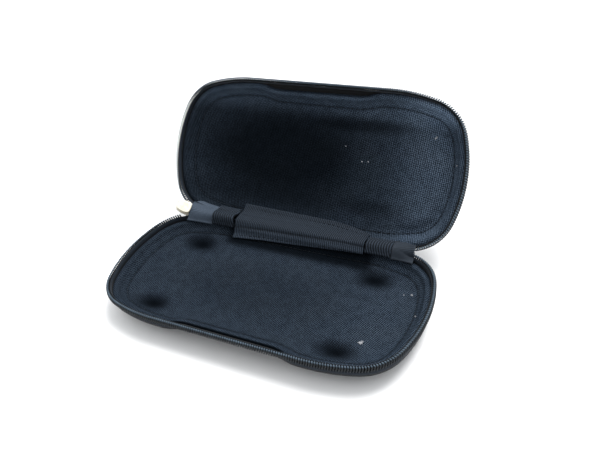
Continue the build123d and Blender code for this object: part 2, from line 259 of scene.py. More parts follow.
class Shader:
    """A node material around one Principled shader."""

    def __init__(self, name, **fixed):
        self.material = bpy.data.materials.new(name)
        self.material.use_nodes = True
        self.tree = self.material.node_tree
        self.main = self.tree.nodes["Principled BSDF"]
        for key, value in fixed.items():
            self.main.inputs[key.replace("_", " ")].default_value = value

    def node(self, kind, inputs=(), **props):
        return add_node(self.tree, kind, inputs, **props)

    def math(self, operation, a, b=0.0, c=0.0):
        return self.node("ShaderNodeMath", {0: a, 1: b, 2: c}, operation=operation).outputs[0]

    def scaled(self, value, scale, offset):
        """value * scale + offset"""
        return self.math("MULTIPLY_ADD", value, scale, offset)

    def weave(self):
        return self.node("ShaderNodeUVMap", uv_map="weave").outputs[0]

    def place(self):
        return self.node("ShaderNodeTexCoord").outputs["Object"]

    def noise(self, vector, scale, detail=2.0, rough=0.5):
        inputs = {"Vector": vector, "Scale": scale, "Detail": detail, "Roughness": rough}
        return self.node("ShaderNodeTexNoise", inputs).outputs["Fac"]

    def lines(self, vector, angle, period, wobble=0.0, wobble_scale=0.2):
        """Sine lines across a direction of the weave map, 0 to 1, wandering by a noise."""
        way = (math.cos(angle) * TAU / period, math.sin(angle) * TAU / period, 0)
        inputs = {0: vector, 1: way}
        along = self.node("ShaderNodeVectorMath", inputs, operation="DOT_PRODUCT").outputs["Value"]
        if wobble:
            along = self.scaled(self.noise(vector, wobble_scale), wobble, along)
        return self.scaled(self.math("SINE", along), 0.5, 0.5)

    def ramp(self, value, *stops):
        """Colours at positions 0 to 1."""
        made = self.node("ShaderNodeValToRGB", {0: value})
        points = made.color_ramp.elements
        while len(points) < len(stops):
            points.new(0.5)
        for point, (position, colour) in zip(points, stops):
            point.position = position
            point.color = (*colour, 1)
        return made.outputs[0]

    def mix(self, share, a, b, blend="MIX"):
        """Two colours mixed, or blended another way, by a share."""
        b = b if isinstance(b, bpy.types.NodeSocket) else (*b, 1)
        inputs = {0: share, 6: a, 7: b}
        return self.node("ShaderNodeMix", inputs, data_type="RGBA", blend_type=blend).outputs[2]

    def tone(self, colour):
        """Colour times the point tone stored on the mesh, which on several pieces carries painted light and
        shade.
        """
        read = self.node("ShaderNodeAttribute", attribute_name="tone").outputs["Fac"]
        scaled = self.node("ShaderNodeVectorMath", {0: colour, "Scale": read}, operation="SCALE")
        return scaled.outputs[0]

    def finish(self, colour, rough, height=None, depth=0.0001, strength=1.0):
        """Material with its colour, roughness and bump, whose depth is in metres."""
        self.tree.links.new(colour, self.main.inputs["Base Color"])
        if isinstance(rough, bpy.types.NodeSocket):
            self.tree.links.new(rough, self.main.inputs["Roughness"])
        else:
            self.main.inputs["Roughness"].default_value = rough
        if height is not None:
            bump = self.node("ShaderNodeBump", {"Height": height, "Distance": depth, "Strength": strength})
            self.tree.links.new(bump.outputs[0], self.main.inputs["Normal"])
        return self.material


def grey(value, blue=1.42):
    """Dark bluish grey of a given strength."""
    return (value * 0.72, value, value * blue)


def lining_material():
    m = Shader("lining_knit", Specular_IOR_Level=0.03, Specular_Tint=(0.4, 0.7, 1.0, 1.0))
    uv = m.weave()
    twill = m.lines(uv, math.radians(-20), 1.0, 5.0, 0.45)
    courses = m.lines(uv, math.radians(66), 0.95, 6.0, 0.7)
    here = m.ramp(m.noise(uv, 0.22, 2.0), (0.38, (0.85,) * 3), (0.62, (1.0,) * 3))
    knit = m.scaled(courses, 0.22, m.math("MULTIPLY", twill, 0.26))
    knit = m.math("MULTIPLY", knit, here)
    fuzz = m.noise(uv, 1.5, 4.0, 0.75)
    knit = m.scaled(fuzz, 0.85, knit)
    patch = m.noise(uv, 0.045, 3.0, 0.55)
    yarn = m.ramp(knit, (0.40, grey(0.0012)), (0.60, grey(0.0096)), (0.84, grey(0.050)))
    shade = m.ramp(patch, (0.3, (0.90, 0.92, 0.94)), (0.7, (1.08, 1.06, 1.03)))
    colour = m.tone(m.mix(1.0, yarn, shade, "MULTIPLY"))
    return m.finish(colour, m.scaled(fuzz, 0.12, 0.82), knit, 0.0002, 0.9)


def cover_material():
    m = Shader("cover_cloth", Sheen_Weight=0.02, Sheen_Roughness=0.4, Specular_IOR_Level=0.12)
    uv = m.weave()
    warp = m.lines(uv, 0, 0.8, 0.8, 0.4)
    weft = m.lines(uv, math.pi / 2, 0.8, 0.8, 0.4)
    checks = m.math("MULTIPLY", m.math("SUBTRACT", warp, 0.5), m.math("SUBTRACT", weft, 0.5))
    cloth = m.scaled(checks, 1.8, 0.5)
    fibre = m.noise(uv, 3.5, 3.0, 0.6)
    cloth = m.scaled(fibre, 0.35, cloth)
    colour = m.ramp(cloth, (0.2, grey(0.007)), (1.0, grey(0.024)))
    wear = m.ramp(m.noise(m.place(), 34.0, 4.0), (0.35, (0.85,) * 3), (0.75, (1.15,) * 3))
    colour = m.mix(1.0, colour, wear, "MULTIPLY")
    return m.finish(colour, m.scaled(fibre, 0.2, 0.62), cloth, 0.00014, 0.7)


def narrow_weave(m, ribs, yarn, fibre_scale, fibre_share):
    """Height and fibre of a woven tape; ribs and yarn are (share, angle, period, wobble, its scale)."""
    uv = m.weave()
    across, slanted = m.lines(uv, *ribs[1:]), m.lines(uv, *yarn[1:])
    cloth = m.scaled(slanted, yarn[0], m.math("MULTIPLY", across, ribs[0]))
    fibre = m.noise(uv, fibre_scale, 4.0, 0.7)
    return m.scaled(fibre, fibre_share, cloth), fibre


def tape_material():
    m = Shader("zipper_tape", Sheen_Weight=0.06, Sheen_Roughness=0.35, Specular_IOR_Level=0.2)
    wales, picks = (0.6, math.pi / 2, 0.42, 0.5, 0.3), (0.5, math.radians(24), 0.5, 0.7, 0.4)
    cloth, fibre = narrow_weave(m, wales, picks, 1.7, 0.9)
    share = m.math("MULTIPLY", cloth, 0.55)
    colour = m.tone(m.ramp(share, (0.34, grey(0.014)), (0.74, grey(0.088))))
    return m.finish(colour, m.scaled(fibre, 0.2, 0.55), cloth, 0.0001, 0.7)


def coil_material():
    m = Shader("zipper_coil", Specular_IOR_Level=0.2)
    at = m.place()
    drawn = m.noise(at, 900.0, 2.0)
    colour = m.tone(m.ramp(m.noise(at, 160.0, 3.0), (0.3, grey(0.026, 1.3)), (0.7, grey(0.04, 1.3))))
    return m.finish(colour, m.scaled(drawn, 0.2, 0.38), drawn, 0.00003, 0.4)


def ribbed_material():
    m = Shader("grosgrain", Sheen_Weight=0.02, Sheen_Roughness=0.35, Specular_IOR_Level=0.1)
    ribs, twist = (0.4, math.pi / 2, 0.34, 0.9, 0.5), (0.3, math.radians(35), 0.45, 0.6, 0.6)
    cloth, fibre = narrow_weave(m, ribs, twist, 1.8, 1.0)
    share = m.math("MULTIPLY", cloth, 0.55)
    colour = m.tone(m.ramp(share, (0.30, grey(0.004)), (0.70, grey(0.044))))
    return m.finish(colour, m.scaled(fibre, 0.2, 0.6), cloth, 0.00009, 0.7)


def thread_material():
    m = Shader("thread", Specular_IOR_Level=0.08)
    uv = m.weave()
    twist = m.lines(uv, math.radians(50), 0.22)
    colour = m.tone(m.ramp(twist, (0.2, grey(0.008)), (0.9, grey(0.026))))
    return m.finish(colour, 0.5, twist, 0.00005, 0.8)


def enamel_material():
    m = Shader("slider_enamel", Coat_Weight=0.35, Coat_Roughness=0.2, Specular_IOR_Level=0.5)
    at = m.place()
    mottle = m.noise(at, 420.0, 4.0, 0.6)
    rub = m.noise(at, 1300.0, 3.0, 0.7)
    paint = m.ramp(mottle, (0.3, (0.60, 0.54, 0.40)), (0.5, (0.72, 0.68, 0.55)), (0.75, (0.77, 0.74, 0.64)))
    worn = m.ramp(rub, (0.62, (0.0,) * 3), (0.72, (0.5,) * 3))
    colour = m.mix(worn, paint, (0.55, 0.45, 0.3))
    return m.finish(colour, m.scaled(rub, 0.25, 0.28), mottle, 0.00006, 0.5)


def steel_material():
    m = Shader("spring_steel", Metallic=1.0)
    at = m.place()
    stretched = m.node("ShaderNodeMapping", {"Vector": at, "Scale": (1.0, 14.0, 1.0)}).outputs[0]
    brushed = m.noise(stretched, 400.0, 3.0)
    colour = m.ramp(brushed, (0.3, (0.5, 0.5, 0.5)), (0.7, (0.75, 0.75, 0.74)))
    return m.finish(colour, m.scaled(brushed, 0.2, 0.25), brushed, 0.00002, 0.5)


def foam_material():
    m = Shader("eva_foam", Specular_IOR_Level=0.3)
    at = m.place()
    cells = m.node("ShaderNodeTexVoronoi", {"Vector": at, "Scale": 1400.0}).outputs["Distance"]
    colour = m.ramp(cells, (0.0, (0.03, 0.03, 0.033)), (0.6, (0.06, 0.06, 0.065)))
    return m.finish(colour, 0.85, cells, 0.00012, 0.6)


def lint_material():
    m = Shader("lint", Sheen_Weight=0.5)
    strands = m.noise(m.place(), 2500.0)
    colour = m.ramp(strands, (0.3, (0.20, 0.21, 0.23)), (0.7, (0.42, 0.43, 0.46)))
    return m.finish(colour, 0.8)


LINING_CLOTH = lining_material()
COVER_CLOTH = cover_material()
TAPE = tape_material()
COIL = coil_material()
RIBBED = ribbed_material()
THREAD = thread_material()
ENAMEL = enamel_material()
STEEL = steel_material()
FOAM = foam_material()
LINT = lint_material()
spring_mesh = frame["nodes"]["slider_lock_spring"].data
spring_mesh.materials.clear()
spring_mesh.materials.append(STEEL)


def settle(piece, body, node):
    """The piece rides on a body and stands in for a CAD node, which it hides."""
    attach(piece, body)
    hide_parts(node)


# ---- trays ----
RIM_STEP = 1.4
QUARTER = np.linspace(0, PERIMETER / 4, round(PERIMETER / 4 / RIM_STEP) + 1)
# Distances right round the rim, the same in every quarter.
ROUND = np.concatenate([QUARTER, PERIMETER / 2 - QUARTER[-2::-1]])
ROUND = np.concatenate([ROUND, PERIMETER - ROUND[-2:0:-1]])


def tray_rows(rows, distances):
    """Points (x, y, depth) and weave map of rows (inset, depth, share of recess, share gone in).

    The weave map is flat over the floor and unrolls the wall outwards from the floor's edge."""
    point, inward = rim(distances)
    dip = recess(point)
    places, means = [], []
    for inset, depth, recessed, gone in rows:
        inset, depth = inset + 0 * dip, depth + 0 * dip
        xy = point + inward * (inset + recessed * dip)[:, None]
        centre = np.stack([np.clip(xy[:, 0], -MIDDLE, MIDDLE), 0 * dip], -1)
        xy = xy * (1 - gone) + centre * gone
        places.append(np.concatenate([xy, depth[:, None]], 1))
        means.append((float(np.mean(inset)), float(np.mean(depth))))
    edge = max(inset for inset, _ in means)
    maps = []
    for k, (_, _, recessed, gone) in enumerate(rows):
        if gone > 0:
            maps.append(places[k][:, :2])
            continue
        path, j = 0.0, k
        while j < len(rows) - 1 and rows[j + 1][3] == 0 and means[j][0] < edge:
            path += math.dist(means[j], means[j + 1])
            j += 1
        maps.append(point + inward * (edge - path + recessed * dip)[:, None])
    return np.array(places), np.array(maps)


def wall_rows(layer, steps, first=0.0):
    """Rows down the wall of one layer, from the shoulder to the edge of the floor."""
    rows = []
    for t in np.linspace(0, 1, steps):
        angle = first + (math.pi / 2 - first) * t
        inset = COVER_INSET + layer + (WALL_RUN - layer) * (1 - np.cos(angle))
        rows.append((inset, SHOULDER + (WALL_DROP - layer) * np.sin(angle), 1, 0))
    return rows


def floor_rows(edge, steps):
    """Rows over the flat floor, from the row at its edge to the middle line."""
    inset, depth = edge[0], edge[1]
    return [(inset, depth, 1, t) for t in np.linspace(0, 1, steps + 1)[1:]]


def tray_piece(kind, name, node, places, maps, material, tone=None):
    """Closed piece round the whole tray."""
    faces = lattice(len(places), len(ROUND), wrap_cols=True)
    piece = mesh_object(kind + name, TRAYS[kind](places), faces, material, maps, tone, 0.01)
    settle(piece, kind, kind + node)


# (inset, depth) round the padded lip, from its underside over its top to its inner face
LIP = [
    (4.70, 5.20), (3.40, 5.22), (2.20, 5.20), (1.78, 5.02), (1.64, 4.72), (1.74, 4.42),
    (2.05, 4.20), (2.60, 4.06), (3.30, 4.02), (4.00, 4.10), (4.60, 4.34), (4.98, 4.74), (5.16, 5.25),
]
SEAM_GROOVE = 0.28
LID_RISE = 3.4    # how far the lid's floor rises towards the right-hand end


def dimple(x):
    """Middle and half sizes of the hollows over the feet, which the lining also darkens with painted shade.
    """
    return np.where(x < 0, 58.0, 52.5), 25.2, 9.5, 5.6


def floor_dent(x, y):
    """Depth of the hollows pressed into the base's lining."""
    return 1.35 * foot_press(x, y, dimple(x), 1.1)


def blot(x, y, middle_x, middle_y, half_x, half_y):
    """Soft oval patch, 1 in its middle and 0 outside."""
    return 1 - smoothstep(np.hypot((x - middle_x) / half_x, (y - middle_y) / half_y), 0.3, 1.0)


def lining_painted_light(kind, x, y, depth):
    """Painted light and shade on a lining, as a tone."""
    if kind == "base":
        # Base: painted shade in the hollows over the feet and over the middle of the floor.
        tone = (1 - 0.92 * foot_press(x, y, dimple(x), 1.55)) * (1 - 0.22 * blot(x, y, -8, 0, 62, 26))
        # Painted shadow under the ribbon, and painted light towards the right-hand end.
        ribbon_shadow = smoothstep(y, 26.5, 31.5) * smoothstep(50 - np.abs(x - 2), 0, 8)
        return tone * (1 - 0.85 * ribbon_shadow) * (1 + 0.35 * smoothstep(x, 30, 75))
    # Lid: painted shade over the middle and left of its floor and along the hinge.
    centre_shade = blot(x, y, -22, -2, 88, 42) * (1 - 0.6 * smoothstep(x, 10, 46))
    hinge_shade = smoothstep(y, 12, 26) * (1 - smoothstep(x, 0, 44))
    # Painted light on the top wall, painted shade in two creases and painted light towards the right-hand
    # end.
    top = smoothstep(-y, 22, 32) * (1 - smoothstep(depth, 13.5, 15.5))
    crease = blot(x, y, 26, -23, 40, 5.5) + 0.8 * blot(x, y, 38, 22, 26, 7)
    right = smoothstep(x, 38, 74)
    tone = (1 - 0.8 * centre_shade) * (1 - 0.45 * hinge_shade) * (1 - 0.5 * np.clip(crease, 0, 1))
    return tone * (1 + 1.5 * top) * (1 + 1.5 * right)


def lining_points(kind):
    """Points, weave map and tone of a lining: its underside, padded lip, wall and floor."""
    under = wall_rows(UNDERSIDE, 12, 0.15)
    wall = wall_rows(LINING, 26, 0.14)
    hidden = floor_rows(under[-1], 10)[::-1] + under[::-1]
    lip = [(inset, depth, 1, 0) for inset, depth in LIP]
    rows = hidden + lip + wall + floor_rows(wall[-1], 16)
    places, maps = tray_rows(rows, ROUND)
    x, y, depth = places[..., 0], places[..., 1], places[..., 2]
    seen = np.arange(len(rows)) >= len(hidden) + len(lip)
    face = seen[:, None] * smoothstep(depth, 5.2, 7.5)
    groove = np.exp(-(((depth - SEAM_DEPTH) / 0.42) ** 2)) * face
    swell = 0.10 * ripple(x, y, 9.0) * face
    # Painted shade in the seam's groove.
    tone = lining_painted_light(kind, x, y, depth) * (1 - 0.35 * groove)
    # Painted shadow in the gap between the tape and the lip at the thumb recess, deeper in the base.
    behind_tape = np.array([inset < 2.7 and lip_depth > 4.0 for inset, lip_depth, _, _ in rows])
    at_recess = smoothstep(recess(rim(ROUND)[0]), 0.2, 1.6)
    shade = 0.93 if kind == "base" else 0.6
    tone = tone * (1 - shade * behind_tape[:, None] * at_recess[None, :])
    if kind == "base":
        depth = depth + floor_dent(x, y) + groove * SEAM_GROOVE + swell
    else:
        ramp = LID_RISE * smoothstep(x, 4, 88) * smoothstep(depth, 9.0, 11.0)
        depth = depth - ramp * face + groove * SEAM_GROOVE + swell
    return np.stack([x, y, depth], -1), maps, tone


def make_lining(kind):
    places, maps, tone = lining_points(kind)
    tray_piece(kind, "_lining_cloth", "_lining", places, maps, LINING_CLOTH, tone)


def make_foam(kind):
    """Foam bowl between the cover and the lining, pressed in with both."""
    wall, back = wall_rows(FOAM_FACE, 20, 0.2), wall_rows(FOAM_BACK, 20, 0.14)
    inner = floor_rows(wall[-1], 14)[::-1] + wall[::-1]
    rows = inner + back + floor_rows(back[-1], 14)
    places, maps = tray_rows(rows, ROUND)
    if kind == "base":
        x, y, count = places[..., 0], places[..., 1], len(inner)
        places[:count, :, 2] += floor_dent(x[:count], y[:count])
        places[count:, :, 2] += foot_press(x[count:], y[count:])
    tray_piece(kind, "_foam_bowl", "_shell", places, maps, FOAM)


def make_cover(kind):
    """Outer cloth, cut lower behind the hinge, with the feet pressed out of the base's."""
    point = rim(ROUND)[0]
    cut = (point[:, 1] > 0) * (1 - smoothstep(np.abs(point[:, 0]), SPINE_HALF - 1.5, SPINE_HALF))
    top = (SPINE_TOP - SHOULDER) * cut
    outer, inner = [], []
    for layer, kept in ((0.0, outer), (COVER, inner)):
        kept.extend(wall_rows(layer, 22, np.arcsin(top / (WALL_DROP - layer))))
    edge = [(inset, SHOULDER - 0.16 + top, 1, 0) for inset in (0.55, 0.80)]
    rows = floor_rows(inner[-1], 6)[::-1] + inner[::-1] + edge[::-1] + outer + floor_rows(outer[-1], 14)
    places, maps = tray_rows(rows, ROUND)
    if kind == "base":
        places[..., 2] += foot_press(places[..., 0], places[..., 1]) ** 0.5
    tray_piece(kind, "_cover_cloth", "_cover", places, maps, COVER_CLOTH)


# ---- zipper ----
TEETH_START, TEETH_END = rear_distance(69.0), PERIMETER - rear_distance(76.6)
TAPE_START = rear_distance(SPINE_HALF)
TAPE_END = PERIMETER - TAPE_START
PITCH = 1.308
WIRE, WIRE_SIDES = 0.37, 7
TEETH_FOOT = 3.6    # depth of the bottom of the teeth
# One turn of the coil: share of the pitch, side (1 is outermost) and height (1 is the tip).
TOOTH = np.array([
    (0.25, -0.80, 0.85), (0.10, 0.00, 1.00), (-0.05, 0.80, 0.84), (0.18, 1.00, 0.45),
    (0.45, 0.85, 0.05), (0.62, 0.00, -0.02), (0.80, -0.85, 0.05), (1.02, -0.98, 0.45),
])


def smooth_path(points, steps):
    """Catmull-Rom line through points."""
    p = np.concatenate([[2 * points[0] - points[1]], points, [2 * points[-1] - points[-2]]])
    t = np.linspace(0, 1, steps, endpoint=False)[:, None, None]
    a, b, c, d = p[:-3], p[1:-2], p[2:-1], p[3:]
    line = 0.5 * (2 * b + (c - a) * t + (2 * a - 5 * b + 4 * c - d) * t**2 + (3 * b - a - 3 * c + d) * t**3)
    return np.concatenate([line.transpose(1, 0, 2).reshape(-1, points.shape[1]), points[-1:]])


def tube(line, radius, sides):
    """Points round a tube and the distance map, carried along the line without twist."""
    step = np.gradient(line, axis=0)
    step /= np.linalg.norm(step, axis=1)[:, None]
    side = np.cross(step[0], (0.3, 0.5, 0.8))
    rings, maps, gone = [], [], 0.0
    turns = np.linspace(0, TAU, sides, endpoint=False)
    for k, (at, ahead) in enumerate(zip(line, step)):
        side = side - ahead * (side @ ahead)
        side /= np.linalg.norm(side)
        other = np.cross(ahead, side)
        size = radius[k]
        rings.append(at + size * (np.cos(turns)[:, None] * side + np.sin(turns)[:, None] * other))
        gone += np.linalg.norm(line[k] - line[k - 1]) if k else 0
        maps.append(np.stack([np.full(sides, gone), turns * size], -1))
    return np.array(rings), np.array(maps)


def capped(rows, cols, first=0):
    """Faces of a tube with both ends closed."""
    ends = [tuple(range(first, first + cols))]
    ends.append(tuple(range(first + (rows - 1) * cols, first + rows * cols)))
    return lattice(rows, cols, wrap_cols=True, first=first) + ends


def make_coil(kind):
    """Coil of teeth round the rim; the lid's is half a pitch on, so that the two mesh."""
    shift = 0.0 if kind == "base" else 0.5
    count = int((TEETH_END - TEETH_START) / PITCH - shift)
    teeth = np.arange(count)[:, None]
    along = TEETH_START + PITCH * (teeth + shift + TOOTH[None, :, 0])
    across = np.broadcast_to(TOOTH[None, :, 1], along.shape)
    height = np.broadcast_to(TOOTH[None, :, 2], along.shape)
    line = smooth_path(np.stack([along.ravel(), across.ravel(), height.ravel()], -1), 3)
    point, inward = rim(line[:, 0])
    room = COIL_HALF - WIRE - 0.02
    xy = point - inward * (line[:, 1] * room)[:, None]
    low, high = TEETH_FOOT - WIRE, TIP_GAP + WIRE
    depth = low + (high - low) * line[:, 2]
    centre = TRAYS[kind](np.concatenate([xy, depth[:, None]], 1))
    flare = WIRE * (1 + 0.15 * smoothstep(line[:, 2], 0.7, 1.0))
    rings, maps = tube(centre, flare, WIRE_SIDES)
    faces = capped(len(centre), WIRE_SIDES)
    # Painted shade towards the inner side of the coil and painted highlight on the tips of the teeth.
    outer = smoothstep(line[:, 1], -0.3, 0.6)
    tone = 0.10 + 0.3 * outer + 2.6 * smoothstep(line[:, 2], 0.86, 1.0)
    piece = mesh_object(kind + "_coil_teeth", rings, faces, COIL, maps, np.repeat(tone, WIRE_SIDES))
    settle(piece, kind, kind + "_zipper_coil")


# Painted shade: tones that darken the tape's face behind the teeth and its face towards the lining, the
# second also on the right tape end.
TAPE_SHADE_BY_COIL, TAPE_SHADE = 0.07, 0.42    # tones of the faces behind the teeth and towards the lining
WAVY_DOWN_TO = 4.0


def make_tape(kind):
    """Woven tape from under the lip up to the coil, with a rounded, slightly wavy top."""
    distances = np.linspace(TAPE_START, TAPE_END, 420)
    point, inward = rim(distances)
    # (inset, depth, share of recess), up the face by the coil and down the one by the lining
    by_coil = [(1.02, 8.3, 1), (1.02, 5.0, 1), (1.02, 4.78, 1), (1.02, 4.62, 0), (1.02, 2.4, 0),
               (1.04, 1.25, 0), (1.14, 1.05, 0), (1.30, 1.0, 0)]
    inside = [(1.46, 1.07, 0), (1.55, 1.3, 0), (1.56, 2.4, 0), (1.58, 3.6, 0), (1.59, 4.2, 0),
              (1.60, 4.36, 1), (1.60, 5.0, 1), (1.5, 8.3, 1)]
    rows, span = by_coil + inside, len(distances)
    wave = 0.05 * np.sin(distances / 5.1) + 0.04 * np.sin(distances / 2.3 + 1)
    dip = recess(point)
    places, maps, tones = [], [], []
    for k, (inset, depth, recessed) in enumerate(rows):
        sway = wave * (depth < WAVY_DOWN_TO)
        xy = point + inward * (inset + recessed * dip + sway * 0.4)[:, None]
        places.append(np.concatenate([xy, (depth + sway)[:, None]], 1))
        maps.append(np.stack([distances, np.full(span, depth)], -1))
        # Painted shade, deeper where the tape runs in under the lip.
        lip_shade = smoothstep(depth, 2.6, 4.3)
        tones.append(np.full(span, TAPE_SHADE_BY_COIL if k < len(by_coil) else TAPE_SHADE * (1 - 0.94 * lip_shade)))
    faces = lattice(len(rows), span, wrap_rows=True)
    faces += [tuple(end + k * span for k in range(len(rows))) for end in (0, span - 1)]
    piece = mesh_object(kind + "_zip_tape", TRAYS[kind](places), faces, TAPE, maps, tones)
    settle(piece, kind, kind + "_zipper_tape")


def make_stitches(kind, name, node, starts, length, place, thickness):
    """Raised stitches as one piece; place gives the tray point, lift and tone for (start, distance)."""
    points, maps, tones, faces, first = [], [], [], [], 0
    t = np.linspace(0, 1, 7)[:, None]
    radius = thickness * np.sqrt(np.clip(1 - (2 * t[:, 0] - 1) ** 4, 0.08, 1))
    for at in starts:
        start, _, tone = place(at, at)
        end, lift, _ = place(at, at + length)
        start, end, lift = np.array(start), np.array(end), np.array(lift)
        line = TRAYS[kind](start + (end - start) * t + lift * np.sin(math.pi * t))
        rings, uv = tube(line, radius, 7)
        points.append(rings.reshape(-1, 3))
        maps.append(uv.reshape(-1, 2))
        faces += capped(*rings.shape[:2], first)
        first += len(points[-1])
        tones.append(np.full(len(points[-1]), tone))
    points, maps, tones = (np.concatenate(part) for part in (points, maps, tones))
    piece = mesh_object(kind + name, points, faces, THREAD, maps, tones)
    settle(piece, kind, kind + node)


def seam_inset(depth):
    """Inset of the lining face at a depth down the wall."""
    angle = math.asin((depth - SHOULDER) / (WALL_DROP - LINING))
    return COVER_INSET + LINING + (WALL_RUN - LINING) * (1 - math.cos(angle))


def on_rim_seam(start, at):
    """Just below the lip, with painted shade under the ribbon."""
    point, inward = rim(at)
    x, y = point + inward * (seam_inset(SEAM_DEPTH) + recess(point))
    depth = SEAM_DEPTH + SEAM_GROOVE - 0.05 + 0.06 * math.sin(start / 7.0)
    return (x, y, depth), (*(inward * 0.05), -0.20), 0.25 if y > 20 and abs(x - 1) < 52 else 1.0


RIM_STITCHES = round(PERIMETER / 3.0)
for kind in TRAYS:
    make_lining(kind)
    make_foam(kind)
    make_cover(kind)
    make_coil(kind)
    make_tape(kind)
    starts = np.arange(RIM_STITCHES) * PERIMETER / RIM_STITCHES
    make_stitches(kind, "_rim_stitches", "_rim_seam", starts, 2.6, on_rim_seam, 0.19)

# ---- cloth over the hinge ----
LIP_INSET = COVER_INSET + LINING


def at_base(inset, depth):
    """Section point (y, z) by the base's rear wall."""
    return in_base([0, HALF_WIDTH - inset, depth])[1:]


def at_lid(inset, depth):
    """Section point (y, z) by the lid's rear wall."""
    return in_lid([0, HALF_WIDTH - inset, depth])[1:]


def at_ridge(rise):
    """Section point (y, z) rise above the hinge axis, towards the inside of the open case."""
    half = OPENING / 2
    return np.array([HINGE_Y - rise * math.cos(half), HINGE_Z + rise * math.sin(half)])


def cloth_band(name, route, xs, thickness, material, lift_at, tone_at=1.0, ends=None, rows=40):
    """Closed band of cloth along a section route, with its lift and tone at (share, x).

    ends gives, for each x, how far the two edges stop short of the route's ends.
    Returns the piece, its mean length along the route, and the route's whole length."""
    line = smooth_path(np.array(route), 10)
    ahead = np.gradient(line, axis=0)
    ahead /= np.linalg.norm(ahead, axis=1)[:, None]
    up = np.stack([-ahead[:, 1], ahead[:, 0]], -1)
    gone = np.concatenate([[0], np.cumsum(np.linalg.norm(np.diff(line, axis=0), axis=1))])
    low, high = (0 * xs, 0 * xs) if ends is None else ends(xs)
    share = np.linspace(0, 1, rows)[:, None]
    run = low + (gone[-1] - high - low) * share
    yz = np.stack([np.interp(run, gone, line[:, k]) for k in (0, 1)], -1)
    off = np.stack([np.interp(run, gone, up[:, k]) for k in (0, 1)], -1)
    cols = len(xs)
    lift = lift_at(share, xs[None, :])
    side = np.minimum(xs - xs[0], xs[-1] - xs)[None, :]
    edge = np.minimum(np.minimum(run - low, gone[-1] - high - run), side)
    half = thickness / 2 * np.sqrt(1 - 0.85 * (1 - smoothstep(edge, 0, thickness * 0.7)) ** 2)
    x = np.broadcast_to(xs[None, :, None], (rows, cols, 1))
    # The two faces, joined round the border.
    sheets = [np.concatenate([x, yz + off * (sign * half + lift)[..., None]], -1) for sign in (1, -1)]
    faces = lattice(rows, cols) + [f[::-1] for f in lattice(rows, cols, first=rows * cols)]
    border = [*range(cols)] + [r * cols + cols - 1 for r in range(1, rows)]
    border += [(rows - 1) * cols + c for c in range(cols - 2, -1, -1)]
    border += [r * cols for r in range(rows - 2, 0, -1)]
    for a, b in zip(border, border[1:] + border[:1]):
        faces.append((a, b, b + rows * cols, a + rows * cols))
    maps = np.stack([x[..., 0], run], -1)
    shade = tone_at(share, xs[None, :]) if callable(tone_at) else np.full((rows, cols), tone_at)
    points = np.concatenate([s.reshape(-1, 3) for s in sheets])
    piece = mesh_object(name, points, faces, material, [maps, maps], [shade, shade])
    return piece, float(np.mean(gone[-1] - high - low)), float(gone[-1])


def bend(piece, node, slot_name):
    """The piece, shaped across the hinge from the base's lip to the lid's, keeps its place in the world and
    stands in for a CAD node, which it hides.
    """
    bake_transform(piece)
    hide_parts(node)


def clear_wall(depth, off):
    """Inset and depth of a point off the lining face of the rear wall."""
    return seam_inset(depth) + off, depth - off * 0.4


RIBBON_X = [corner.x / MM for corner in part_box("hinge_inner_ribbon")]
RIBBON_THICK = 0.7
RIB = 1.15    # pitch of the ribs
CREASE = 0.27    # share of the way over where the ribbon folds at the base's lip
ribbon_route = [
    at_base(*clear_wall(8.9, 0.5)),
    at_base(*clear_wall(7.4, 0.5)),
    at_base(*clear_wall(6.0, 0.6)),
    at_base(LIP_INSET + 0.35, 4.4),
    at_base(LIP_INSET - 0.55, 3.35),
    at_ridge(-0.35),
    at_lid(LIP_INSET - 0.55, 3.35),
    at_lid(LIP_INSET + 0.4, 4.3),
    at_lid(*clear_wall(6.2, 0.65)),
    at_lid(*clear_wall(8.0, 0.55)),
    at_lid(*clear_wall(9.6, 0.5)),
]
# How far the ribbon's edges stop short of the route's ends, at points along the case.
EDGE_X = (-40.0, -20.0, 0.0, 20.0, 30.0, 42.0)
LOW_EDGE = (0.2, 2.0, 3.0, 4.2, 4.8, 5.3)
HIGH_EDGE = (0.0, 0.5, 0.9, 1.4, 2.6, 5.4)


def ribbon_ends(x):
    """How far the ribbon's two edges stop short of the route's ends."""
    return np.interp(x, EDGE_X, LOW_EDGE), np.interp(x, EDGE_X, HIGH_EDGE)


def ribbon_ribs(share, x):
    return np.sin(TAU * x / RIB + 1.2 * np.sin(share * 5))


def ribbon_lift(share, x):
    """Ribs across the ribbon, a soft wave along it and the crease at the base's lip."""
    wave = 0.22 * np.sin(x / 7.0 + share * 2) * np.sin(math.pi * share)
    crease = -0.22 * np.exp(-(((share - CREASE) / 0.035) ** 2))
    return 0.15 * ribbon_ribs(share, x) + wave + crease


def ribbon_painted_shade(share, x):
    """Painted shade between the ribs and in the crease, and painted light on the half by the base."""
    crease = 1 - 0.5 * np.exp(-(((share - CREASE) / 0.03) ** 2))
    return (1 + 0.9 * ribbon_ribs(share, x)) * crease * (1.35 - 0.45 * smoothstep(share, 0.15, 0.45))


columns = np.arange(RIBBON_X[0], RIBBON_X[1] + 0.01, RIB / 6)
ribbon, ribbon_length, _ = cloth_band(
    "hinge_ribbon", ribbon_route, columns, RIBBON_THICK, RIBBED, ribbon_lift, ribbon_painted_shade, ribbon_ends, 56
)
bend(ribbon, "hinge_inner_ribbon", "grosgrain")

spine_side = [(1.35, 6.6), (1.05, 5.0), (0.95, 3.0), (1.0, 1.8)]
spine_route = [at_base(*at) for at in spine_side] + [at_ridge(-1.9)]
spine_route += [at_lid(*at) for at in spine_side[::-1]]


def spine_lift(share, x):
    """Soft waves along the outer cloth."""
    return 0.12 * np.sin(x / 6.0 + share * 3) * np.sin(math.pi * share)


